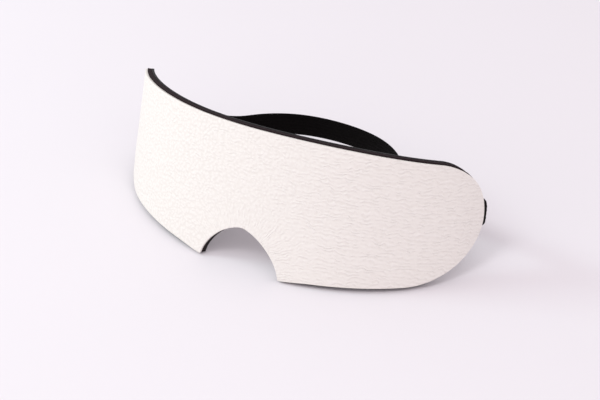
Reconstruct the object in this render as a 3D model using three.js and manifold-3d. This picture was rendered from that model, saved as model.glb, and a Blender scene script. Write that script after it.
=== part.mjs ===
// Leather blindfold: a curved, leaning three-layer panel and an elastic head strap.
// Millimetres, +Z up, +Y from the panel towards the back of the head. The panel stands
// on the bottom edges of its two lobes, and the strap loops behind it.
import * as THREE from "three";
import { mergeVertices } from "three/addons/utils/BufferGeometryUtils.js";
import Module from "manifold-3d";

const wasm = await Module();
wasm.setup();

// Flat pattern of the panel: s runs along its middle, h up it from the notch's feet.
// The hand-cut top edge wavers a little, and its left corner is cut squarer.
const halfLength = 120;
const topEdgeHeight = 71.2;
const topWaver = { height: 0.6, length: 150 };
const tipHeight = 40.5;
const topCornerStart = { left: 104, right: 90 };
const topCornerPower = 1.9;
const bottomCornerStart = 82;
const bottomCornerPower = 1.9;
const bottomLift = { height: 0.8, from: 22.1, to: 96 };
const notchHalfWidth = 22.1;
const notchHeight = 21;
const notchPower = 1.565;

// Bow of the panel round the face, and its lean backwards.
const bow = { linear: 0.842, cubic: 0.254, fifth: 0.149 };
const lean = THREE.MathUtils.degToRad(16.8);

// Layers, as depths behind the leather's outer face.
// The leather is cut a little smaller, so the darker layers show round it.
const leather = { near: 0, far: 1.2, topInset: 1.0, bottomInset: 0.8 };
const padding = { near: 1.5, far: 3.1, topInset: 0, bottomInset: 0 };
const lining = { near: 3.4, far: 4.6, topInset: 0, bottomInset: 0 };
const insetFade = { notch: 16, tipFrom: 94, tipTo: 118 };
const fitGap = 0.3;

// Elastic strap: a flat band sewn in at both tips.
const strapWidth = 13;
const strapThickness = 1.2;
const strapLevel = 43.8;
const strapDepth = (padding.near + padding.far) / 2;
const tabLength = 14;
const strapLead = 3.4;
const leadSteps = 3;
const foldRadius = 2.6;
const foldEndHeading = THREE.MathUtils.degToRad(164);
const foldSteps = 8;
const strapBack = { y: 108.3, z: 20.4, tilt: THREE.MathUtils.degToRad(-3) };
const strapShoulder = { x: 45, y: 86, slope: THREE.MathUtils.degToRad(55) };
const strapReach = 19.5;
const sideStart = 0.05;
const sideEnd = 0.34;
const jointGap = 0.5;

// Bar tacks that hold the strap's tabs to the lining.
const thread = { radius: 0.3, sides: 6, rows: 8, rowPitch: 1.3, turnSteps: 5, length: 9.5, inset: 3 };

// ---------- the bow and the flat pattern ----------

function bowPoint(s) {
  const steps = 40;
  const step = s / steps;
  const point = new THREE.Vector2();
  for (let i = 0; i < steps; i++) {
    const angle = bowAngle((i + 0.5) * step);
    point.x += Math.cos(angle) * step;
    point.y += Math.sin(angle) * step;
  }
  return point;
}

function bowAngle(s) {
  const u = s / halfLength;
  return bow.linear * u + bow.cubic * u ** 3 + bow.fifth * u ** 5;
}

// Leaning frame: plan x and y across the bow, h up the leaning panel.
function leaned(x, y, h) {
  return new THREE.Vector3(
    x,
    y * Math.cos(lean) + h * Math.sin(lean),
    h * Math.cos(lean) - y * Math.sin(lean),
  );
}

// A point of the panel, at depth d behind the leather's outer face.
function panelPoint(s, h, d) {
  const point = bowPoint(s);
  const angle = bowAngle(s);
  return leaned(point.x - d * Math.sin(angle), point.y + d * Math.cos(angle), h);
}

function topEdge(s) {
  const start = s < 0 ? topCornerStart.left : topCornerStart.right;
  const u = Math.max(0, (Math.abs(s) - start) / (halfLength - start));
  const round = Math.max(0, 1 - u ** topCornerPower) ** (1 / topCornerPower);
  const waver = topWaver.height * Math.sin((2 * Math.PI * s) / topWaver.length);
  return tipHeight + (topEdgeHeight + waver - tipHeight) * round;
}

// The lobes are cut so that the lining's bottom edge is level and the panel stands on it.
function levelCut(s) {
  const layersBehind = lining.far * (Math.cos(bowAngle(s)) - 1);
  return (bowPoint(s).y + layersBehind) * Math.tan(lean);
}

function bottomEdge(s) {
  const side = Math.abs(s);
  if (side < notchHalfWidth) {
    const u = side / notchHalfWidth;
    return notchHeight * (1 - u ** notchPower) ** (1 / notchPower);
  }
  const u = Math.max(0, (side - bottomCornerStart) / (halfLength - bottomCornerStart));
  const round = 1 - Math.max(0, 1 - u ** bottomCornerPower) ** (1 / bottomCornerPower);
  const along = Math.min(1, (side - bottomLift.from) / (bottomLift.to - bottomLift.from));
  const lift = bottomLift.height * Math.sin(Math.PI * along);
  return levelCut(side) + lift + (tipHeight - levelCut(halfLength)) * round;
}

// How much of a layer's inset is left at a place: none at the tips or round the notch.
function topInsetShare(s) {
  return 1 - THREE.MathUtils.smoothstep(Math.abs(s), insetFade.tipFrom, insetFade.tipTo);
}

function bottomInsetShare(s) {
  const offNotch = Math.abs(s) - notchHalfWidth;
  return topInsetShare(s) * THREE.MathUtils.smoothstep(offNotch, 0, insetFade.notch);
}

// Columns of the pattern, closer together where an edge turns. The middle pair leaves
// one flat facet at the nose bridge.
function columnPlaces() {
  const right = [4, 8, 12, 15.5, 18.5, 20.5, 21.6, notchHalfWidth];
  for (let i = 1; i <= 11; i++) {
    right.push(THREE.MathUtils.lerp(notchHalfWidth, bottomCornerStart, i / 11));
  }
  const cornerColumns = 14;
  for (let i = 1; i <= cornerColumns; i++) {
    const turn = (i / cornerColumns) * (Math.PI / 2);
    right.push(bottomCornerStart + (halfLength - bottomCornerStart) * Math.sin(turn));
  }
  return [...right.map((s) => -s).reverse(), ...right];
}

// ---------- closed bodies from corner rings ----------

// Joins rings of corners, in order round the section, into one closed body.
function ringBody(rings) {
  const positions = [];
  const sides = rings[0].length;
  const face = (a, b, c) => positions.push(...a.toArray(), ...b.toArray(), ...c.toArray());
  for (let i = 0; i + 1 < rings.length; i++) {
    for (let k = 0; k < sides; k++) {
      const next = (k + 1) % sides;
      face(rings[i][k], rings[i][next], rings[i + 1][next]);
      face(rings[i][k], rings[i + 1][next], rings[i + 1][k]);
    }
  }
  const first = rings[0];
  const last = rings[rings.length - 1];
  for (let k = 1; k + 1 < sides; k++) {
    face(first[0], first[k + 1], first[k]);
    face(last[0], last[k], last[k + 1]);
  }
  return cleaned(positions);
}

// Merges shared corners and drops the triangles that a closed tip squeezes flat.
function cleaned(positions) {
  const loose = new THREE.BufferGeometry();
  loose.setAttribute("position", new THREE.Float32BufferAttribute(positions, 3));
  const merged = mergeVertices(loose, 1e-4);
  const corner = merged.index.array;
  const kept = [];
  for (let i = 0; i < corner.length; i += 3) {
    const [a, b, c] = corner.slice(i, i + 3);
    if (a !== b && b !== c && c !== a) kept.push(a, b, c);
  }
  merged.setIndex(kept);
  return merged;
}

function cut(body, tool) {
  const result = solid(body).subtract(solid(tool)).getMesh();
  const geometry = new THREE.BufferGeometry();
  geometry.setAttribute("position", new THREE.BufferAttribute(result.vertProperties, 3));
  geometry.setIndex(new THREE.BufferAttribute(result.triVerts, 1));
  return geometry;
}

function solid(geometry) {
  return new wasm.Manifold(new wasm.Mesh({
    numProp: 3,
    vertProperties: geometry.attributes.position.array,
    triVerts: new Uint32Array(geometry.index.array),
  }));
}

// ---------- the panel's layers ----------

function layerGeometry({ near, far, topInset, bottomInset }) {
  const rings = columnPlaces().map((s) => {
    const low = bottomEdge(s) + bottomInset * bottomInsetShare(s);
    const high = topEdge(s) - topInset * topInsetShare(s);
    return [
      panelPoint(s, low, near),
      panelPoint(s, low, far),
      panelPoint(s, high, far),
      panelPoint(s, high, near),
    ];
  });
  return ringBody(rings);
}

// Bent block between two places along the panel, used to open the strap's pockets.
function pocketBlock(side) {
  const rings = [];
  const from = halfLength - tabLength - fitGap;
  const steps = 6;
  for (let i = 0; i <= steps; i++) {
    const s = side * THREE.MathUtils.lerp(from, halfLength + 1, i / steps);
    const low = strapLevel - strapWidth / 2 - fitGap;
    const high = strapLevel + strapWidth / 2 + fitGap;
    rings.push([
      panelPoint(s, low, leather.far),
      panelPoint(s, low, lining.near),
      panelPoint(s, high, lining.near),
      panelPoint(s, high, leather.far),
    ]);
  }
  return ringBody(side > 0 ? rings : rings.reverse());
}

function paddingGeometry() {
  return cut(cut(layerGeometry(padding), pocketBlock(1)), pocketBlock(-1));
}

// ---------- the strap ----------

// A station of the band: its centre, the direction of its width and of its thickness.
function station(centre, width, along) {
  const across = new THREE.Vector3().crossVectors(width, along).normalize();
  return { centre, width: width.clone().normalize(), across };
}

function bandGeometry(stations) {
  const corner = ({ centre, width, across }, up, out) => centre.clone()
    .addScaledVector(width, up * strapWidth / 2)
    .addScaledVector(across, out * strapThickness / 2);
  const rings = stations.map((place) => [
    corner(place, -1, -1),
    corner(place, -1, 1),
    corner(place, 1, 1),
    corner(place, 1, -1),
  ]);
  return ringBody(rings);
}

const upPanel = leaned(0, 0, 1);
const upright = new THREE.Vector3(0, 0, 1);

// The end sewn in at the right tip: the tab in its pocket leans with the panel, then the
// band turns upright where it comes out, and folds back inwards.
function foldStations() {
  const stations = [];
  const tabSteps = 4;
  for (let i = 0; i <= tabSteps; i++) {
    const s = halfLength - tabLength * (1 - i / tabSteps);
    const angle = bowAngle(s);
    const point = bowPoint(s);
    const x = point.x - strapDepth * Math.sin(angle);
    const y = point.y + strapDepth * Math.cos(angle);
    const along = leaned(Math.cos(angle), Math.sin(angle), 0);
    stations.push(station(leaned(x, y, strapLevel), upPanel, along));
  }
  const out = leaned(Math.cos(bowAngle(halfLength)), Math.sin(bowAngle(halfLength)), 0);
  const outHeading = Math.atan2(out.y, out.x);
  const level = new THREE.Vector3(Math.cos(outHeading), Math.sin(outHeading), 0);
  let centre = stations.at(-1).centre;
  for (let i = 1; i <= leadSteps; i++) {
    const before = out.clone().lerp(level, (i - 0.5) / leadSteps).normalize();
    const along = out.clone().lerp(level, i / leadSteps).normalize();
    centre = centre.clone().addScaledVector(before, strapLead / leadSteps);
    stations.push(station(centre, upPanel.clone().lerp(upright, i / leadSteps), along));
  }
  const pivotX = centre.x - foldRadius * Math.sin(outHeading);
  const pivotY = centre.y + foldRadius * Math.cos(outHeading);
  for (let i = 1; i <= foldSteps; i++) {
    const heading = THREE.MathUtils.lerp(outHeading, foldEndHeading, i / foldSteps);
    stations.push(station(
      new THREE.Vector3(
        pivotX + foldRadius * Math.sin(heading),
        pivotY - foldRadius * Math.cos(heading),
        centre.z,
      ),
      upright,
      new THREE.Vector3(Math.cos(heading), Math.sin(heading), 0),
    ));
  }
  return stations;
}

// Half of the free strap, from the fold to the middle of the back.
function halfPath() {
  const from = foldStations().at(-1).centre;
  const shoulder = new THREE.Vector3(strapShoulder.x, strapShoulder.y, 0);
  const back = new THREE.Vector3(0, strapBack.y, 0);
  const shoulderWay = new THREE.Vector3(
    -Math.cos(strapShoulder.slope),
    Math.sin(strapShoulder.slope),
    0,
  );
  const outWay = new THREE.Vector3(Math.cos(foldEndHeading), Math.sin(foldEndHeading), 0);
  const path = new THREE.CurvePath();
  path.add(new THREE.CubicBezierCurve3(
    new THREE.Vector3(from.x, from.y, 0),
    new THREE.Vector3(from.x, from.y, 0).addScaledVector(outWay, strapReach),
    shoulder.clone().addScaledVector(shoulderWay, -strapReach),
    shoulder,
  ));
  path.add(new THREE.CubicBezierCurve3(
    shoulder,
    shoulder.clone().addScaledVector(shoulderWay, strapReach),
    back.clone().add(new THREE.Vector3(strapReach, 0, 0)),
    back,
  ));
  return path;
}

const rightHalf = halfPath();
const foldEnd = foldStations().at(-1).centre;

// Station at share t of the way from the right fold (0) to the middle of the back (1);
// 2 - t is the same place on the left.
function freeStation(t) {
  const share = t <= 1 ? t : 2 - t;
  const flat = rightHalf.getPointAt(share);
  const way = rightHalf.getTangentAt(share);
  const ease = THREE.MathUtils.smootherstep(share, 0, 1);
  const z = THREE.MathUtils.lerp(foldEnd.z, strapBack.z, ease);
  const tilt = strapBack.tilt * ease;
  const mirror = t <= 1 ? 1 : -1;
  const centre = new THREE.Vector3(mirror * flat.x, flat.y, z);
  const along = new THREE.Vector3(way.x, mirror * way.y, 0);
  return station(centre, new THREE.Vector3(0, Math.sin(tilt), Math.cos(tilt)), along);
}

function freeStations(from, to, steps) {
  const stations = [];
  for (let i = 0; i <= steps; i++) {
    stations.push(freeStation(THREE.MathUtils.lerp(from, to, i / steps)));
  }
  return stations;
}

const gapShare = jointGap / rightHalf.getLength();

function strapEndStations() {
  return [...foldStations(), ...freeStations(0, sideStart, 2).slice(1)];
}

function strapSideStations() {
  return freeStations(sideStart + gapShare, sideEnd, 14);
}

function strapBackStations() {
  return freeStations(sideEnd + gapShare, 2 - sideEnd - gapShare, 35);
}

// ---------- the bar tacks ----------

// One thread laid to and fro across the lining, over the tab that it holds. Each station
// is a place on the flat pattern and the direction of the thread there.
function tackStations() {
  const turnRadius = thread.rowPitch / 2;
  const reach = thread.length / 2 - turnRadius;
  const stations = [];
  for (let row = 0; row < thread.rows; row++) {
    const s = halfLength - thread.inset - row * thread.rowPitch;
    const rise = row % 2 === 0 ? 1 : -1;
    stations.push({ s, h: strapLevel - rise * reach, angle: rise * Math.PI / 2 });
    stations.push({ s, h: strapLevel + rise * reach, angle: rise * Math.PI / 2 });
    if (row === thread.rows - 1) break;
    for (let i = 1; i < thread.turnSteps; i++) {
      const turn = (i / thread.turnSteps) * Math.PI;
      stations.push({
        s: s - turnRadius * (1 - Math.cos(turn)),
        h: strapLevel + rise * (reach + turnRadius * Math.sin(turn)),
        angle: rise * (Math.PI / 2 + turn),
      });
    }
  }
  return stations;
}

function tackGeometry() {
  const depth = lining.far + thread.radius + 0.1;
  const rings = tackStations().map(({ s, h, angle }) => {
    const ring = [];
    for (let k = 0; k < thread.sides; k++) {
      const round = (k / thread.sides) * Math.PI * 2;
      const aside = thread.radius * Math.cos(round);
      ring.push(panelPoint(
        s - aside * Math.sin(angle),
        h + aside * Math.cos(angle),
        depth - thread.radius * Math.sin(round),
      ));
    }
    return ring;
  });
  return ringBody(rings);
}

// ---------- assembly ----------

// The same body on the other side of the middle plane, faces still outwards.
function mirrored(geometry) {
  const copy = geometry.clone().scale(-1, 1, 1);
  const corners = [...copy.index.array];
  for (let i = 0; i < corners.length; i += 3) {
    [corners[i + 1], corners[i + 2]] = [corners[i + 2], corners[i + 1]];
  }
  copy.setIndex(corners);
  return copy;
}

const whiteLeather = new THREE.MeshStandardMaterial({ color: 0xf4f0ec, roughness: 0.5, metalness: 0 });
const charcoalFelt = new THREE.MeshStandardMaterial({ color: 0x3a3436, roughness: 0.95, metalness: 0 });
const blackSuede = new THREE.MeshStandardMaterial({ color: 0x1b1819, roughness: 0.9, metalness: 0 });
const blackElastic = new THREE.MeshStandardMaterial({ color: 0x120d0d, roughness: 0.85, metalness: 0 });
const blackThread = new THREE.MeshStandardMaterial({ color: 0x18161a, roughness: 0.6, metalness: 0 });

const blindfold = new THREE.Group();

function addPart(name, geometry, material) {
  const part = new THREE.Mesh(geometry, material);
  part.name = name;
  blindfold.add(part);
}

function addPair(name, geometry, material) {
  addPart(`${name}_right`, geometry, material);
  addPart(`${name}_left`, mirrored(geometry), material);
}

addPart("leather_face", layerGeometry(leather), whiteLeather);
addPart("padding_core", paddingGeometry(), charcoalFelt);
addPart("lining", layerGeometry(lining), blackSuede);
addPair("strap_end", bandGeometry(strapEndStations()), blackElastic);
addPair("strap_side", bandGeometry(strapSideStations()), blackElastic);
addPart("strap_back", bandGeometry(strapBackStations()), blackElastic);
addPair("anchor_stitch", tackGeometry(), blackThread);

// Origin under the middle of the whole blindfold, on the surface it stands on.
const extent = new THREE.Box3().setFromObject(blindfold, true);
const middle = extent.getCenter(new THREE.Vector3());
blindfold.position.set(0, -middle.y, -extent.min.z);

export default blindfold;
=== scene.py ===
import math
import bpy
from mathutils import Matrix, Vector, noise


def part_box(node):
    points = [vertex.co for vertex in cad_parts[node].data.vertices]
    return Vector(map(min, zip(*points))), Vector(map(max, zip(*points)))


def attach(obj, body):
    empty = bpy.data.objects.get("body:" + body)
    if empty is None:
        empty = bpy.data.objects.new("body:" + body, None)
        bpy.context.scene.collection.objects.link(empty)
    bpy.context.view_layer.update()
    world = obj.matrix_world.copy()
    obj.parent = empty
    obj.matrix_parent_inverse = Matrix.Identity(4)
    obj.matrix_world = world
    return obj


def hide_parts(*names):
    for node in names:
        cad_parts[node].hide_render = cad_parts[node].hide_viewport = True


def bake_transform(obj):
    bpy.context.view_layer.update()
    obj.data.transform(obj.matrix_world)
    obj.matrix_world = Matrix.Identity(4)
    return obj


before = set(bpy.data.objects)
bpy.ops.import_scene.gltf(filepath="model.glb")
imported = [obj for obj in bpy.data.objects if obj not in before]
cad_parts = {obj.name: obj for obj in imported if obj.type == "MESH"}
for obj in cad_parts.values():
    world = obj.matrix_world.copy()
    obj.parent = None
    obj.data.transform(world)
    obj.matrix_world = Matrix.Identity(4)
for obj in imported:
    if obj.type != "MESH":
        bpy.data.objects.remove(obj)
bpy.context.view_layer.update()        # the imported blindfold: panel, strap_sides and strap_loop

mm = 0.001
print("frame loaded:", len(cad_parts), "nodes")


# small helpers

def deselectAll():
    bpy.ops.object.select_all(action="DESELECT")


def linear(hexColour):
    # sRGB hex to the linear colour that the shaders take
    parts = [int(hexColour[i:i + 2], 16) / 255 for i in (1, 3, 5)]
    return [c / 12.92 if c <= 0.04045 else ((c + 0.055) / 1.055) ** 2.4 for c in parts] + [1]


def mix(a, b, share):
    return a + (b - a) * share


def smooth(low, high, x):
    t = min(1, max(0, (x - low) / (high - low)))
    return t * t * (3 - 2 * t)


def addNode(tree, kind, inputs, **settings):
    # one node, its settings, and its inputs as values or as other nodes' outputs
    node = tree.nodes.new("ShaderNode" + kind)
    for key, value in settings.items():
        setattr(node, key, value)
    for key, value in inputs.items():
        if isinstance(value, bpy.types.NodeSocket):
            tree.links.new(value, node.inputs[key])
        else:
            node.inputs[key].default_value = value
    return node


def newMaterial(name):
    material = bpy.data.materials.new(name)
    material.use_nodes = True
    tree = material.node_tree
    return material, tree, tree.nodes["Principled BSDF"]


# the panel's flat pattern and its bow, as cut and bent on the bench

pattern = dict(
    halfLength=120 * mm,
    topEdge=71.2 * mm,
    tip=40.5 * mm,
    topCornerLeft=104 * mm,
    topCornerRight=90 * mm,
    waver=0.6 * mm,         # the hand-cut top edge isn't quite straight
    waverLength=150 * mm,
    bottomCorner=82 * mm,
    bottomLift=0.8 * mm,
    liftEnd=96 * mm,
    cornerPower=1.9,
    notchHalf=22.1 * mm,
    notchHeight=21 * mm,
    notchPower=1.565,
    bow=(0.842, 0.254, 0.149),
    lean=math.radians(16.8),
    thickness=4.6 * mm,
)


def bowAngle(s):
    u = s / pattern["halfLength"]
    first, third, fifth = pattern["bow"]
    return first * u + third * u ** 3 + fifth * u ** 5


bowPlaces = {}


def bowPoint(s):
    # where the bow has got to at s, added up in short steps
    if s not in bowPlaces:
        steps = 60
        x = y = 0
        for i in range(steps):
            angle = bowAngle((i + 0.5) * s / steps)
            x += math.cos(angle) * s / steps
            y += math.sin(angle) * s / steps
        bowPlaces[s] = (x, y)
    return bowPlaces[s]


def leaned(x, y, h):
    c, s = math.cos(pattern["lean"]), math.sin(pattern["lean"])
    return Vector((x, y * c + h * s, h * c - y * s))


def levelCut(s):
    behind = pattern["thickness"] * (math.cos(bowAngle(s)) - 1)
    return (bowPoint(s)[1] + behind) * math.tan(pattern["lean"])


def cornerRound(s, start):
    u = max(0, (abs(s) - start) / (pattern["halfLength"] - start))
    power = pattern["cornerPower"]
    return max(0, 1 - u ** power) ** (1 / power)


def topEdge(s):
    start = pattern["topCornerLeft"] if s < 0 else pattern["topCornerRight"]
    waver = pattern["waver"] * math.sin(2 * math.pi * s / pattern["waverLength"])
    return mix(pattern["tip"], pattern["topEdge"] + waver, cornerRound(s, start))


def bottomEdge(s):
    side = abs(s)
    if side < pattern["notchHalf"]:
        u, power = side / pattern["notchHalf"], pattern["notchPower"]
        return max(levelCut(side), pattern["notchHeight"] * (1 - u ** power) ** (1 / power))
    rise = pattern["tip"] - levelCut(pattern["halfLength"])
    along = min(1, (side - pattern["notchHalf"]) / (pattern["liftEnd"] - pattern["notchHalf"]))
    lift = pattern["bottomLift"] * math.sin(math.pi * along)
    return levelCut(side) + lift + rise * (1 - cornerRound(s, pattern["bottomCorner"]))


# the frame says where the bent panel stands: its front and its lowest edge
frontFoot = leaned(*bowPoint(pattern["notchHalf"]), levelCut(pattern["notchHalf"]))
stand = Vector((
    0,
    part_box("leather_face")[0].y - frontFoot.y,
    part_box("lining")[0].z + pattern["thickness"] * math.sin(pattern["lean"]),
))


def panelPoint(s, h, depth):
    x, y = bowPoint(s)
    angle = bowAngle(s)
    return leaned(x - depth * math.sin(angle), y + depth * math.cos(angle), h) + stand


def panelOut(s):
    # away from the leather's face
    angle = bowAngle(s)
    return leaned(math.sin(angle), -math.cos(angle), 0)


# how a layer's columns are shared out from its middle to a tip
columns = dict(notchPart=0.2, wingPart=0.46, tipPart=0.34, tipGap=0.06 * mm)


def columnPlace(share):
    # places along the pattern, closer together at the tips and at the notch's feet
    foot, corner, end = pattern["notchHalf"], pattern["bottomCorner"], pattern["halfLength"]
    notchPart, wingPart = columns["notchPart"], columns["wingPart"]
    away = abs(share) * 2
    if away < notchPart:
        s = foot * math.sin(away / notchPart * math.pi / 2)
    elif away < notchPart + wingPart:
        s = mix(foot, corner, (away - notchPart) / wingPart)
    else:
        past = (away - notchPart - wingPart) / columns["tipPart"]
        s = mix(corner, end - columns["tipGap"], math.sin(past * math.pi / 2))
    return math.copysign(s, share)


def patternArea():
    count = 2000
    step = 2 * pattern["halfLength"] / count
    places = [(i + 0.5) * step - pattern["halfLength"] for i in range(count)]
    return sum((topEdge(s) - bottomEdge(s)) * step for s in places)


# one layer of the panel: a flat grid laid to the pattern, bent, then given its thickness

cornerAngle = math.radians(55)      # sharper corners than this are rounded
smoothAngle = math.radians(50)      # sharper edges than this stay crisp in the shading


def makeLayer(name, layer, surface, inset):
    deselectAll()
    bpy.ops.mesh.primitive_grid_add(
        x_subdivisions=layer["columns"], y_subdivisions=layer["rows"], size=1)
    piece = bpy.context.object
    piece.name = name
    mesh = piece.data
    mesh.name = name
    flat = []
    for vertex in mesh.vertices:
        s = columnPlace(vertex.co.x)
        share = vertex.co.y + 0.5
        low = bottomEdge(s) + inset(s, False)
        high = topEdge(s) - inset(s, True)
        flat.append((s, mix(low, high, share)))
    uv = mesh.uv_layers[0]
    uv.name = "pattern"
    for loop in mesh.loops:
        uv.data[loop.index].uv = flat[loop.vertex_index]
    for vertex, (s, h) in zip(mesh.vertices, flat):
        vertex.co = panelPoint(s, h, layer["near"]) + panelOut(s) * surface(s, h)
    solidify = piece.modifiers.new("thickness", "SOLIDIFY")
    solidify.thickness = layer["far"] - layer["near"]
    solidify.offset = -1
    solidify.material_offset_rim = layer.get("rimSlot", 0)
    bpy.ops.object.modifier_apply(modifier=solidify.name)
    bevel = piece.modifiers.new("cut edge", "BEVEL")
    bevel.width = layer["edge"]
    bevel.segments = layer["edgeSteps"]
    bevel.limit_method = "ANGLE"
    bevel.angle_limit = cornerAngle
    bpy.ops.object.modifier_apply(modifier=bevel.name)
    bpy.ops.object.shade_smooth_by_angle(angle=smoothAngle)
    return piece


# materials

def patternPlace(tree):
    # the flat pattern's own places, in millimetres
    place = addNode(tree, "UVMap", {}, uv_map="pattern").outputs[0]
    return addNode(tree, "Mapping", {"Vector": place, "Scale": (1000, 1000, 1000)}).outputs[0]


hide = dict(        # lengths in millimetres, as patternPlace gives them
    wander=2.6,             # how far the grain strays, so that nothing in it is regular
    fanReach=32.0,          # where the spread creases are as far apart as the lengthwise ones
    fanEnd=(24.0, 50.0),    # over this distance from the notch the one kind turns into the other
    creaseApart=(1.7, 1.9),
    creaseStray=6.0,
    creaseBreak=0.3,        # breaks to the millimetre
    pebble=1.7,
    pebbledShare=(0.75, 0.12),      # left wing and nose, then right tip
    pebbledPatch=70.0,
    pebbledEnd=85.0,
    poreScale=2.6,
    grainDepth=0.22 * mm,
    poreDepth=0.05 * mm,
)


def whiteLeather():
    # tumbled cowhide, pigment finished: a soft satin white, pebbled over the nose and the left
    # wing, with soft short creases side by side where the hide was pulled towards the right tip
    material, tree, shader = newMaterial("tumbledWhiteLeather")
    place = patternPlace(tree)
    wander = addNode(tree, "TexNoise", {"Vector": place, "Scale": 0.11, "Detail": 2.0},
                     noise_dimensions="2D")
    middle = (0.5, 0.5, 0.5)
    aside = addNode(tree, "VectorMath", {0: wander.outputs["Color"], 1: middle},
                    operation="SUBTRACT")
    push = addNode(tree, "VectorMath", {0: aside.outputs[0], "Scale": hide["wander"]},
                   operation="SCALE")
    loose = addNode(tree, "VectorMath", {0: place, 1: push.outputs[0]}, operation="ADD").outputs[0]

    # round the notch the creases spread out from it, and further off they run along the panel
    parts = addNode(tree, "SeparateXYZ", {"Vector": loose})
    angle = addNode(tree, "Math", {0: parts.outputs["Y"], 1: parts.outputs["X"]},
                    operation="ARCTAN2")
    reach = addNode(tree, "VectorMath", {0: loose}, operation="LENGTH").outputs["Value"]
    turned = addNode(tree, "Math", {0: angle.outputs[0], 1: hide["fanReach"]},
                     operation="MULTIPLY")
    fan = addNode(tree, "CombineXYZ", {"X": reach, "Y": turned.outputs[0]}).outputs[0]
    fanFrom, fanTo = hide["fanEnd"]
    away = addNode(tree, "MapRange", {"Value": reach, "From Min": fanFrom, "From Max": fanTo},
                   interpolation_type="SMOOTHSTEP").outputs[0]
    creases = []
    for way, apart in zip((fan, loose), hide["creaseApart"]):
        # a wave texture has 20 / 2 pi waves to the unit, and strays in the same units
        waves = 2 * math.pi / 20 / apart
        fold = addNode(tree, "TexWave", {"Vector": way, "Scale": waves,
                                         "Distortion": hide["creaseStray"], "Detail": 1.3,
                                         "Detail Scale": 1.6, "Detail Roughness": 0.5},
                       wave_type="BANDS", bands_direction="Y", wave_profile="SIN")
        creases.append(fold.outputs[1])
    drawn = addNode(tree, "Mix", {0: away, 2: creases[0], 3: creases[1]}).outputs[0]
    # a crease runs out after a few millimetres and the next one starts beside it
    breaks = addNode(tree, "TexNoise", {"Vector": place, "Scale": hide["creaseBreak"],
                                        "Detail": 1.0}, noise_dimensions="2D")
    depth = addNode(tree, "MapRange", {"Value": breaks.outputs[0], "From Min": 0.36,
                                       "From Max": 0.6, "To Min": 0.2, "To Max": 1.0}).outputs[0]
    folds = addNode(tree, "Mix", {0: depth, 2: 0.5, 3: drawn}).outputs[0]

    cells = addNode(tree, "TexVoronoi", {"Vector": loose, "Scale": 1 / hide["pebble"],
                                         "Randomness": 1.0, "Smoothness": 0.45},
                    feature="SMOOTH_F1", voronoi_dimensions="2D")
    pebbles = addNode(tree, "MapRange", {"Value": cells.outputs["Distance"], "From Min": 0.1,
                                         "From Max": 0.62, "To Min": 1.0, "To Max": 0.0}).outputs[0]
    patches = addNode(tree, "TexNoise", {"Vector": place, "Scale": 0.03, "Detail": 1.0},
                      noise_dimensions="2D")
    along = addNode(tree, "SeparateXYZ", {"Vector": place}).outputs["X"]
    uneven = addNode(tree, "Math", {0: patches.outputs[0], 1: hide["pebbledPatch"], 2: along},
                     operation="MULTIPLY_ADD").outputs[0]
    mostPebbles, fewPebbles = hide["pebbledShare"]
    pebbled = addNode(tree, "MapRange", {"Value": uneven, "From Min": 0.0,
                                         "From Max": hide["pebbledEnd"], "To Min": mostPebbles,
                                         "To Max": fewPebbles}).outputs[0]
    grain = addNode(tree, "Mix", {0: pebbled, 2: folds, 3: pebbles}).outputs[0]
    pores = addNode(tree, "TexNoise", {"Vector": place, "Scale": hide["poreScale"], "Detail": 2.0},
                    noise_dimensions="2D")

    coarse = addNode(tree, "Bump", {"Height": grain, "Strength": 1.0,
                                    "Distance": hide["grainDepth"]})
    fine = addNode(tree, "Bump", {"Height": pores.outputs[0], "Strength": 0.3,
                                  "Distance": hide["poreDepth"], "Normal": coarse.outputs[0]})
    # the grain's height picks the colour: creases and hollows are painted darker, a painted shade,
    # and ridges lighter, a painted light
    paintedCreaseShade, ridge = linear("#E8E1DB"), linear("#F1EBE6")
    tone = addNode(tree, "Mix", {0: grain, 6: paintedCreaseShade, 7: ridge}, data_type="RGBA")
    tree.links.new(tone.outputs[2], shader.inputs["Base Color"])
    tree.links.new(fine.outputs[0], shader.inputs["Normal"])
    shader.inputs["Roughness"].default_value = 0.5
    shader.inputs["IOR"].default_value = 1.47
    shader.inputs["Specular IOR Level"].default_value = 0.4
    return material


def cutLeather():
    # the raw cut through the hide: pale cream and slightly open, where no pigment reaches
    material, tree, shader = newMaterial("cutLeatherEdge")
    place = addNode(tree, "TexCoord", {}).outputs["Object"]
    fibre = addNode(tree, "TexNoise", {"Vector": place, "Scale": 2500.0, "Detail": 3.0})
    shade, cream = linear("#E4DCC8"), linear("#F5F0E2")
    tone = addNode(tree, "Mix", {0: fibre.outputs[0], 6: shade, 7: cream}, data_type="RGBA")
    bump = addNode(tree, "Bump", {"Height": fibre.outputs[0], "Strength": 0.4,
                                  "Distance": 0.1 * mm})
    tree.links.new(tone.outputs[2], shader.inputs["Base Color"])
    tree.links.new(bump.outputs[0], shader.inputs["Normal"])
    shader.inputs["Roughness"].default_value = 0.75
    return material


def charcoalFelt():
    # needled polyester felt, cut: matte charcoal with short loose fibres at the cut
    material, tree, shader = newMaterial("needledCharcoalFelt")
    place = addNode(tree, "TexCoord", {}).outputs["Object"]
    fibre = addNode(tree, "TexNoise", {"Vector": place, "Scale": 1400.0, "Detail": 4.0,
                                       "Roughness": 0.7})
    soot, charcoal = linear("#181214"), linear("#35292C")
    tone = addNode(tree, "Mix", {0: fibre.outputs[0], 6: soot, 7: charcoal}, data_type="RGBA")
    bump = addNode(tree, "Bump", {"Height": fibre.outputs[0], "Strength": 0.8,
                                  "Distance": 0.25 * mm})
    tree.links.new(tone.outputs[2], shader.inputs["Base Color"])
    tree.links.new(bump.outputs[0], shader.inputs["Normal"])
    shader.inputs["Roughness"].default_value = 0.95
    shader.inputs["Specular IOR Level"].default_value = 0.15
    return material


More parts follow.
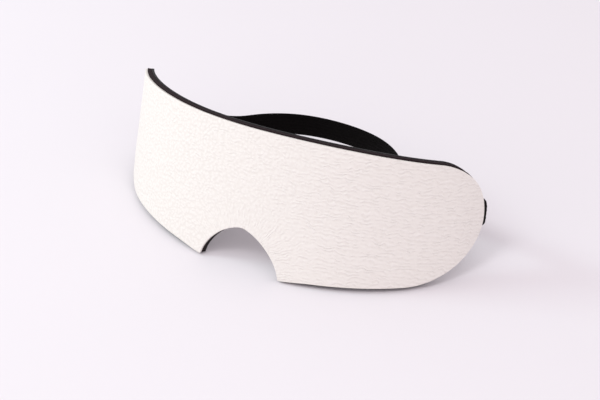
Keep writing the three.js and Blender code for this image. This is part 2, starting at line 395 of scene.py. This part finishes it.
def blackSuede():
    # split suede, buffed: a short nap that lies unevenly, so it is cloudy black and never shiny
    material, tree, shader = newMaterial("buffedBlackSuede")
    place = patternPlace(tree)
    clouds = addNode(tree, "TexNoise", {"Vector": place, "Scale": 0.09, "Detail": 3.0,
                                        "Distortion": 0.6})
    nap = addNode(tree, "TexNoise", {"Vector": place, "Scale": 2.2, "Detail": 4.0,
                                     "Roughness": 0.75})
    both = addNode(tree, "Math", {0: clouds.outputs[0], 1: nap.outputs[0]}, operation="MULTIPLY")
    spread = addNode(tree, "MapRange", {"Value": both.outputs[0], "From Min": 0.12,
                                        "From Max": 0.4})
    black, brushed = linear("#0C0A0B"), linear("#221E20")
    tone = addNode(tree, "Mix", {0: spread.outputs[0], 6: black, 7: brushed}, data_type="RGBA")
    bump = addNode(tree, "Bump", {"Height": nap.outputs[0], "Strength": 0.6, "Distance": 0.15 * mm})
    tree.links.new(tone.outputs[2], shader.inputs["Base Color"])
    tree.links.new(bump.outputs[0], shader.inputs["Normal"])
    shader.inputs["Roughness"].default_value = 0.9
    shader.inputs["Specular IOR Level"].default_value = 0.2
    shader.inputs["Sheen Weight"].default_value = 0.08
    shader.inputs["Sheen Roughness"].default_value = 0.4
    return material


yarnSpacing = 0.55      # millimetres along the band


def wovenElastic():
    # polyester over rubber, woven: matte black, dull, with weft yarns across it
    material, tree, shader = newMaterial("wovenBlackElastic")
    place = patternPlace(tree)
    parts = addNode(tree, "SeparateXYZ", {"Vector": place})
    across = addNode(tree, "Math", {0: parts.outputs["X"], 1: 2 * math.pi / yarnSpacing},
                     operation="MULTIPLY")
    yarn = addNode(tree, "Math", {0: across.outputs[0]}, operation="SINE").outputs[0]
    lint = addNode(tree, "TexNoise", {"Vector": place, "Scale": 5.0, "Detail": 3.0})
    height = addNode(tree, "Math", {0: yarn, 1: 0.35, 2: lint.outputs[0]},
                     operation="MULTIPLY_ADD").outputs[0]
    # the weave's height picks the colour: the gaps between the weft yarns are painted darker, a
    # painted shade, and their crowns lighter, a painted light
    shade = addNode(tree, "MapRange", {"Value": height, "From Min": 0.1,
                                       "From Max": 0.9}).outputs[0]
    paintedYarnGapShade, paintedYarnCrownLight = linear("#030101"), linear("#0E0808")
    tone = addNode(tree, "Mix", {0: shade, 6: paintedYarnGapShade, 7: paintedYarnCrownLight}, data_type="RGBA")
    bump = addNode(tree, "Bump", {"Height": height, "Strength": 0.6, "Distance": 0.12 * mm})
    tree.links.new(tone.outputs[2], shader.inputs["Base Color"])
    tree.links.new(bump.outputs[0], shader.inputs["Normal"])
    shader.inputs["Roughness"].default_value = 0.85
    shader.inputs["Specular IOR Level"].default_value = 0.12
    return material


def sewingThread():
    # bonded polyester thread: black, with a slight lustre along its plies painted into its colour
    # as lighter flecks
    material, tree, shader = newMaterial("bondedBlackThread")
    place = addNode(tree, "TexCoord", {}).outputs["Object"]
    lint = addNode(tree, "TexNoise", {"Vector": place, "Scale": 4000.0, "Detail": 2.0})
    # painted sheen: lighter flecks by noise stand in for the thread's lustre
    black, paintedLustre = linear("#0E0C0F"), linear("#2A272C")
    tone = addNode(tree, "Mix", {0: lint.outputs[0], 6: black, 7: paintedLustre}, data_type="RGBA")
    tree.links.new(tone.outputs[2], shader.inputs["Base Color"])
    shader.inputs["Roughness"].default_value = 0.55
    return material


def plainPaper():
    # seamless paper: matte, and just off white towards lavender
    material, tree, shader = newMaterial("seamlessPaper")
    place = addNode(tree, "TexCoord", {}).outputs["Object"]
    tooth = addNode(tree, "TexNoise", {"Vector": place, "Scale": 3.0, "Detail": 2.0})
    low, high = linear("#E6E0E4"), linear("#E9E3E7")
    tone = addNode(tree, "Mix", {0: tooth.outputs[0], 6: low, 7: high}, data_type="RGBA")
    tree.links.new(tone.outputs[2], shader.inputs["Base Color"])
    shader.inputs["Roughness"].default_value = 0.9
    return material


# leather face

leatherFace = dict(
    near=0, far=1.2 * mm, columns=320, rows=96, edge=0.28 * mm, edgeSteps=3, rimSlot=1,
    topInset=1.0 * mm,      # the leather is cut a little smaller than the darker layers
    bottomInset=0.8 * mm,
    insetEnds=(94 * mm, 118 * mm),      # the inset runs out towards the tips
    insetFoot=16 * mm,                  # and beside the notch
    sag=0.16 * mm,          # slow unevenness of the hide
    sagSize=(0.03, 0.022),
    ripple=0.07 * mm,       # the deepest creases, as shape
    rippleSize=(0.008, 0.0026),
    flatRim=(0.001, 0.007),
)


def leatherInset(s, atTop):
    fadeFrom, fadeTo = leatherFace["insetEnds"]
    share = 1 - smooth(fadeFrom, fadeTo, abs(s))
    if atTop:
        return leatherFace["topInset"] * share
    offNotch = smooth(0, leatherFace["insetFoot"], abs(s) - pattern["notchHalf"])
    return leatherFace["bottomInset"] * share * offNotch


def unevenness(s, h, size, layer):
    # noise over the flat pattern, with lumps of a given size; each use has its own layer of it
    return noise.noise(Vector((s / size[0], h / size[1], layer)))


def edgeDistance(s, h):
    return min(topEdge(s) - h, h - bottomEdge(s), pattern["halfLength"] - abs(s))


def hideSurface(s, h):
    slow = unevenness(s, h, leatherFace["sagSize"], 3.1)
    pulled = unevenness(s, h, leatherFace["rippleSize"], 7.7)
    # a cut edge lies flat, so the unevenness fades towards it
    fadeFrom, fadeTo = leatherFace["flatRim"]
    fade = smooth(fadeFrom, fadeTo, edgeDistance(s, h))
    return (leatherFace["sag"] * slow + leatherFace["ripple"] * pulled) * fade


def makeLeatherFace():
    piece = makeLayer("leatherFace", leatherFace, hideSurface, leatherInset)
    piece.data.materials.append(whiteLeather())
    piece.data.materials.append(cutLeather())
    return piece


face = makeLeatherFace()
print("leather face:", len(face.data.polygons), "faces")


# padding core: its cut edge is the charcoal band along the rim

paddingCore = dict(
    near=1.2 * mm, far=3.25 * mm, columns=420, rows=3, edge=0.5 * mm, edgeSteps=3,
    cutBack=0.12 * mm, fray=0.14 * mm, fraySize=0.0016,
)


def feltCut(s, atTop):
    # felt doesn't cut quite clean
    row = 1.3 if atTop else 9.1
    fray = noise.noise(Vector((s / paddingCore["fraySize"], row, 0)))
    return paddingCore["cutBack"] + paddingCore["fray"] * fray


def flatSurface(s, h):
    return 0


def makePaddingCore():
    piece = makeLayer("paddingCore", paddingCore, flatSurface, feltCut)
    piece.data.materials.append(charcoalFelt())
    return piece


core = makePaddingCore()
print("padding core:", len(core.data.polygons), "faces")


# lining: the side against the eyes

liningLayer = dict(
    near=3.25 * mm, far=4.6 * mm, columns=300, rows=72, edge=0.35 * mm, edgeSteps=3,
    pucker=0.09 * mm,   # shallow folds where the bow presses the suede together
    puckerSize=(0.0035, 0.03), slowSize=(0.025, 0.02), flatRim=0.008,
    eyeSide=4.5 * mm,   # deeper than this is the side that shows
    fray=0.05 * mm, fraySize=0.002,
)


def suedeCut(s, atTop):
    row = 5.0 if atTop else 0.4
    return liningLayer["fray"] * noise.noise(Vector((s / liningLayer["fraySize"], row, 2)))


def puckerLining(piece):
    for vertex in piece.data.vertices:
        s = vertexPlace(vertex.co)
        x, y = bowPoint(round(s, 5))
        angle = bowAngle(s)
        plan = vertex.co - stand
        c, d = math.cos(pattern["lean"]), math.sin(pattern["lean"])
        h = plan.y * d + plan.z * c
        depth = -(plan.x - x) * math.sin(angle) + (plan.y * c - plan.z * d - y) * math.cos(angle)
        if depth < liningLayer["eyeSide"]:
            continue
        fold = unevenness(s, h, liningLayer["puckerSize"], 4.4)
        slow = unevenness(s, h, liningLayer["slowSize"], 8.8)
        fade = smooth(0, liningLayer["flatRim"], edgeDistance(s, h))
        lift = liningLayer["pucker"] * (fold * abs(bowAngle(s)) + slow)
        vertex.co += panelOut(s) * lift * fade


def vertexPlace(point):
    # the place along the pattern whose bow passes nearest to a point, by halving
    low, high = -pattern["halfLength"], pattern["halfLength"]
    plan = point - stand
    c, d = math.cos(pattern["lean"]), math.sin(pattern["lean"])
    planY = plan.y * c - plan.z * d
    halvings = 22
    for _ in range(halvings):
        middle = (low + high) / 2
        x, y = bowPoint(round(middle, 5))
        angle = bowAngle(middle)
        if (plan.x - x) * math.cos(angle) + (planY - y) * math.sin(angle) > 0:
            low = middle
        else:
            high = middle
    return (low + high) / 2


def makeLining():
    piece = makeLayer("liningSuede", liningLayer, flatSurface, suedeCut)
    puckerLining(piece)
    piece.data.materials.append(blackSuede())
    return piece


lining = makeLining()
print("lining:", len(lining.data.polygons), "faces")


# the strap's run, measured from the end of the fold at the right tip: negative inside
# the fold and the sewn tab, positive along the free strap to the middle of the back

strap = dict(
    width=13 * mm, thickness=1.2 * mm, level=43.8 * mm, depth=2.3 * mm,
    tab=14 * mm, lead=2.7 * mm, foldRadius=2.6 * mm, foldHeading=math.radians(164),
    backY=108.3 * mm, backZ=20.4 * mm, backTilt=math.radians(-3),
    shoulder=(45 * mm, 86 * mm), shoulderSlope=math.radians(55), reach=19.5 * mm,
    cornerPull=(0.3 * mm, 1.2 * mm),    # how far the fold's lower and upper corners draw back
    cornerEase=4 * mm,                  # and how far past the fold that still shows
    ribs=6, ribDepth=0.34, ribPower=0.7, picks=1.15 * mm, pickDepth=0.1,
    selvedge=9, edgeCrowding=1.25,      # how square the edges are, how close the points there
    step=0.42 * mm, around=112, runSteps=300, squareFrom=0.9999,
)


def tabPlace(s):
    # inside its pocket the band leans with the panel
    x, y = bowPoint(round(s, 6))
    angle = bowAngle(s)
    depth = strap["depth"]
    centre = leaned(x - depth * math.sin(angle), y + depth * math.cos(angle), strap["level"])
    return centre, leaned(0, 0, 1), leaned(math.cos(angle), math.sin(angle), 0)


tabEnd, tabWidth, tabOut = tabPlace(pattern["halfLength"])
outHeading = math.atan2(tabOut.y, tabOut.x)
upright = Vector((0, 0, 1))


def leadPlace(distance):
    # out of the tip the band turns upright
    level = Vector((math.cos(outHeading), math.sin(outHeading), 0))
    share = distance / strap["lead"]
    centre = tabEnd + tabOut.lerp(level, share / 2).normalized() * distance
    width = tabWidth.lerp(upright, smooth(0, 1, share)).normalized()
    return centre, width, tabOut.lerp(level, share).normalized()


foldStart = leadPlace(strap["lead"])[0]
foldLength = strap["foldRadius"] * (strap["foldHeading"] - outHeading)


def foldPlace(distance):
    # distance runs backwards from the end of the fold: the fold, the lead, then the tab
    if distance >= -foldLength:
        heading = strap["foldHeading"] + distance / strap["foldRadius"]
        centre = foldStart + strap["foldRadius"] * Vector((
            math.sin(heading) - math.sin(outHeading), math.cos(outHeading) - math.cos(heading), 0))
        return centre, upright, Vector((math.cos(heading), math.sin(heading), 0))
    back = -distance - foldLength
    if back <= strap["lead"]:
        return leadPlace(strap["lead"] - back)
    return tabPlace(pattern["halfLength"] - (back - strap["lead"]))


def bezier(a, b, c, d, t):
    return a * (1 - t) ** 3 + b * 3 * t * (1 - t) ** 2 + c * 3 * t * t * (1 - t) + d * t ** 3


def freeRun():
    start = foldPlace(0)[0]
    heading = strap["foldHeading"]
    begin = Vector((start.x, start.y))
    shoulder = Vector(strap["shoulder"])
    rise = Vector((-math.cos(strap["shoulderSlope"]), math.sin(strap["shoulderSlope"])))
    out = Vector((math.cos(heading), math.sin(heading)))
    back = Vector((0, strap["backY"]))
    reach = strap["reach"]
    first = (begin, begin + out * reach, shoulder - rise * reach, shoulder)
    second = (shoulder, shoulder + rise * reach, back + Vector((reach, 0)), back)
    steps = strap["runSteps"]
    points = [bezier(*first, i / steps) for i in range(steps)]
    points += [bezier(*second, i / steps) for i in range(steps + 1)]
    lengths = [0]
    for a, b in zip(points, points[1:]):
        lengths.append(lengths[-1] + (b - a).length)
    return points, lengths, start.z


runPoints, runLengths, runStartZ = freeRun()
runLength = runLengths[-1]


def strapPlace(distance):
    # centre of the band, the way of its width and the way of its thickness
    if distance < 0:
        centre, width, along = foldPlace(distance)
    else:
        distance = min(distance, runLength)
        low = 0
        high = len(runLengths) - 1
        while high - low > 1:
            middle = (low + high) // 2
            if runLengths[middle] <= distance:
                low = middle
            else:
                high = middle
        share = (distance - runLengths[low]) / (runLengths[high] - runLengths[low])
        flat = runPoints[low].lerp(runPoints[high], share)
        before = runPoints[max(0, low - 1)]
        after = runPoints[min(len(runPoints) - 1, high + 1)]
        way = (after - before).normalized()
        done = distance / runLength
        ease = done ** 3 * (done * (done * 6 - 15) + 10)
        tilt = strap["backTilt"] * ease
        centre = Vector((flat.x, flat.y, mix(runStartZ, strap["backZ"], ease)))
        width = Vector((0, math.sin(tilt), math.cos(tilt)))
        along = Vector((way.x, way.y, 0))
        if done > strap["squareFrom"]:
            along = Vector((-1, 0, 0))      # both halves meet square in the middle of the back
    across = width.cross(along).normalized()
    return centre + stand, width, across


def bandHalf(share, along):
    # half the band's thickness at a place across it: round selvedges, ribs, and weft picks
    edge = max(0, 1 - abs(share) ** strap["selvedge"]) ** 0.5
    rib = (share + 1) / 2 * strap["ribs"]
    ridge = abs(math.sin(rib * math.pi))
    odd = math.pi if int(rib) % 2 else 0
    pickWave = math.sin(2 * math.pi * along / strap["picks"] + odd)
    swell = 1 - strap["ribDepth"] + strap["ribDepth"] * ridge ** strap["ribPower"]
    return strap["thickness"] / 2 * edge * (swell + strap["pickDepth"] * pickWave * ridge)


def closedSleeve(name, alongCount, aroundCount, place, flatPlace):
    # a grid wrapped into a closed tube, with its seam merged and its ends filled
    deselectAll()
    bpy.ops.mesh.primitive_grid_add(x_subdivisions=alongCount, y_subdivisions=aroundCount, size=1)
    piece = bpy.context.object
    piece.name = name
    mesh = piece.data
    mesh.name = name
    shares = [(v.co.x + 0.5, v.co.y + 0.5) for v in mesh.vertices]
    uv = mesh.uv_layers[0]
    uv.name = "pattern"
    for loop in mesh.loops:
        uv.data[loop.index].uv = flatPlace(*shares[loop.vertex_index])
    for vertex, (along, around) in zip(mesh.vertices, shares):
        vertex.co = place(along, around % 1)
    bpy.ops.object.mode_set(mode="EDIT")
    bpy.ops.mesh.select_all(action="SELECT")
    bpy.ops.mesh.remove_doubles(threshold=0.002 * mm)
    bpy.ops.mesh.select_all(action="DESELECT")
    bpy.ops.mesh.select_non_manifold()
    bpy.ops.mesh.edge_face_add()
    bpy.ops.mesh.select_all(action="SELECT")
    bpy.ops.mesh.normals_make_consistent(inside=False)
    bpy.ops.object.mode_set(mode="OBJECT")
    bpy.ops.object.shade_smooth_by_angle(angle=smoothAngle)
    return piece


def makeStrapPiece(name, start, end, side):
    steps = max(4, round((end - start) / strap["step"]))
    places = {}

    def place(along, around):
        distance = mix(start, end, along)
        if distance not in places:
            places[distance] = strapPlace(distance)
        centre, width, across = places[distance]
        # once round the band: up one side and down the other
        turn = around * 2 * math.pi
        share = -math.cos(turn)
        spread = math.copysign(1 - (1 - abs(share)) ** strap["edgeCrowding"], share)
        half = bandHalf(spread, distance) * (1 if math.sin(turn) >= 0 else -1)
        if around in (0, 0.5):
            half = 0
        point = centre + width * spread * strap["width"] / 2 + across * half
        bend = smooth(-foldLength - strap["lead"], -foldLength / 2, distance)
        bend *= 1 - smooth(-foldLength / 2, strap["cornerEase"], distance)
        pull = strap["cornerPull"][1 if spread > 0 else 0]
        point -= tabOut * pull * bend * abs(spread) ** 3
        return Vector((point.x * side, point.y, point.z))

    def flat(along, around):
        return mix(start, end, along), -math.cos(around * 2 * math.pi) * strap["width"] / 2

    return closedSleeve(name, steps, strap["around"], place, flat)


elastic = wovenElastic()
turnStart = 0.05 * runLength        # where the CAD's sewn end stops and its side begins
twistLength = 16 * mm               # the stretch of band after the sewn end, made as a piece of its own
strapPieces = {}
for side, word in ((1, "Right"), (-1, "Left")):
    sewn = -foldLength - strap["lead"]
    for part, start, end in (
        ("strapEnd", sewn - strap["tab"], turnStart),
        ("strapTwist", turnStart, turnStart + twistLength),
        ("strapBack", turnStart + twistLength, runLength),
    ):
        piece = makeStrapPiece(part + word, start, end, side)
        piece.data.materials.append(elastic)
        strapPieces[part + word] = piece
print("strap:", len(strapPieces), "pieces,", round(2 * runLength / mm), "mm free between the tips")


# anchor stitches: one thread laid to and fro over each tab

tack = dict(radius=0.3 * mm, rows=8, pitch=1.3 * mm, length=9.5 * mm, inset=3 * mm, lift=0.1 * mm,
            plies=3, plyDepth=0.18, twist=1.6 * mm, step=0.22 * mm, around=18)


def tackPlace(distance):
    turnRadius = tack["pitch"] / 2
    straight = tack["length"] - tack["pitch"]
    lap = straight + math.pi * turnRadius
    row = min(int(distance / lap), tack["rows"] - 1)
    rest = distance - row * lap
    rise = 1 if row % 2 == 0 else -1
    s = pattern["halfLength"] - tack["inset"] - row * tack["pitch"]
    if rest <= straight:
        return s, strap["level"] + rise * (rest - straight / 2), rise * math.pi / 2
    turn = (rest - straight) / turnRadius
    return (s - turnRadius * (1 - math.cos(turn)),
            strap["level"] + rise * (straight / 2 + turnRadius * math.sin(turn)),
            rise * (math.pi / 2 + turn))


def makeTack(name, side):
    straight = tack["length"] - tack["pitch"]
    whole = tack["rows"] * straight + (tack["rows"] - 1) * math.pi * tack["pitch"] / 2

    def place(along, around):
        distance = along * whole
        s, h, angle = tackPlace(distance)
        turn = around * 2 * math.pi
        ply = abs(math.cos(tack["plies"] / 2 * (turn - 2 * math.pi * distance / tack["twist"] / 2)))
        radius = tack["radius"] * (1 - tack["plyDepth"] + tack["plyDepth"] * ply)
        aside = radius * math.cos(turn)
        out = radius * math.sin(turn)
        depth = pattern["thickness"] + tack["radius"] + tack["lift"] + out
        beside = round(s - aside * math.sin(angle), 6)
        point = panelPoint(beside, h + aside * math.cos(angle), depth)
        return Vector((point.x * side, point.y, point.z))

    def flat(along, around):
        return along * whole, around * 2 * math.pi * tack["radius"]

    return closedSleeve(name, round(whole / tack["step"]), tack["around"], place, flat)


thread = sewingThread()
tacks = {}
for side, word in ((1, "Right"), (-1, "Left")):
    piece = makeTack("anchorStitch" + word, side)
    piece.data.materials.append(thread)
    tacks[word] = piece
print("anchor stitches:", len(tacks))


# what each piece stands for: the panel's layers, the strap's ends and the stitches move with the
# panel, and the strap's twist and back are baked where they are made

cutArea = patternArea()
for piece, node, slot, under in (
    (face, "leather_face", "white_leather", "paddingCore"),
    (core, "padding_core", "charcoal_felt", "liningSuede"),
    (lining, "lining", "black_suede", "paddingCore"),
):
    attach(piece, "panel")
    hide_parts(node)

for word in ("Right", "Left"):
    low = word.lower()
    end = strapPieces["strapEnd" + word]
    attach(end, "panel")
    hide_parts("strap_end_" + low)

    twist = strapPieces["strapTwist" + word]
    twistFrom = strapPlace(turnStart)[0]
    twistTo = strapPlace(turnStart + twistLength)[0]
    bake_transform(twist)
    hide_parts("strap_side_" + low)

    back = strapPieces["strapBack" + word]
    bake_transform(back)
    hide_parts("strap_back")

    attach(tacks[word], "panel")
    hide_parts("anchor_stitch_" + low)


# table top, light and camera

def makeFloor():
    deselectAll()
    bpy.ops.mesh.primitive_plane_add(size=12, location=(0, 0, 0))
    floor = bpy.context.object
    floor.name = "floor"
    floor.data.materials.append(plainPaper())


def makeSoftbox(name, spot, aim, size, energy, colour):
    deselectAll()
    bpy.ops.object.light_add(type="AREA", location=spot)
    lamp = bpy.context.object
    lamp.name = name
    lamp.rotation_euler = (Vector(aim) - Vector(spot)).to_track_quat("-Z", "Y").to_euler()
    lamp.data.shape = "RECTANGLE"
    lamp.data.size, lamp.data.size_y = size
    lamp.data.energy = energy
    lamp.data.color = linear(colour)[:3]


def makeCamera():
    shot = dict(azimuth=29.118, elevation=33.801, roll=0.812, distance=0.6238, lens=72.65,
                aside=0.003477, above=0.007514)
    a, e = math.radians(shot["azimuth"]), math.radians(shot["elevation"])
    back = Vector((math.sin(a) * math.cos(e), -math.cos(a) * math.cos(e), math.sin(e)))
    right = Vector((math.cos(a), math.sin(a), 0))
    up = back.cross(right)
    aim = right * shot["aside"] + up * shot["above"]
    deselectAll()
    bpy.ops.object.camera_add(location=aim + back * shot["distance"])
    camera = bpy.context.object
    camera.data.lens = shot["lens"]
    camera.data.sensor_width = 36
    upright = Matrix((right, up, back)).transposed()
    roll = Matrix.Rotation(math.radians(shot["roll"]), 3, "Z")
    camera.rotation_euler = (upright @ roll).to_euler()
    bpy.context.scene.camera = camera


def makeRoom():
    world = bpy.data.worlds.new("paleRoom")
    world.use_nodes = True
    sky = world.node_tree.nodes["Background"]
    sky.inputs["Color"].default_value = linear("#FBF6FA")
    sky.inputs["Strength"].default_value = 0.94
    bpy.context.scene.world = world
    bpy.context.scene.view_settings.view_transform = "Standard"


makeFloor()
makeSoftbox("leftSoftbox", (-1.15, -0.45, 0.8), (0, 0, 0.03), (0.45, 0.45), 5.8, "#E2FFFB")
makeSoftbox("topSoftbox", (-0.25, -0.85, 1.3), (0, 0, 0.03), (0.4, 0.4), 4.3, "#FAFFFF")
makeCamera()
makeRoom()
print("floor, lights and camera are in place")
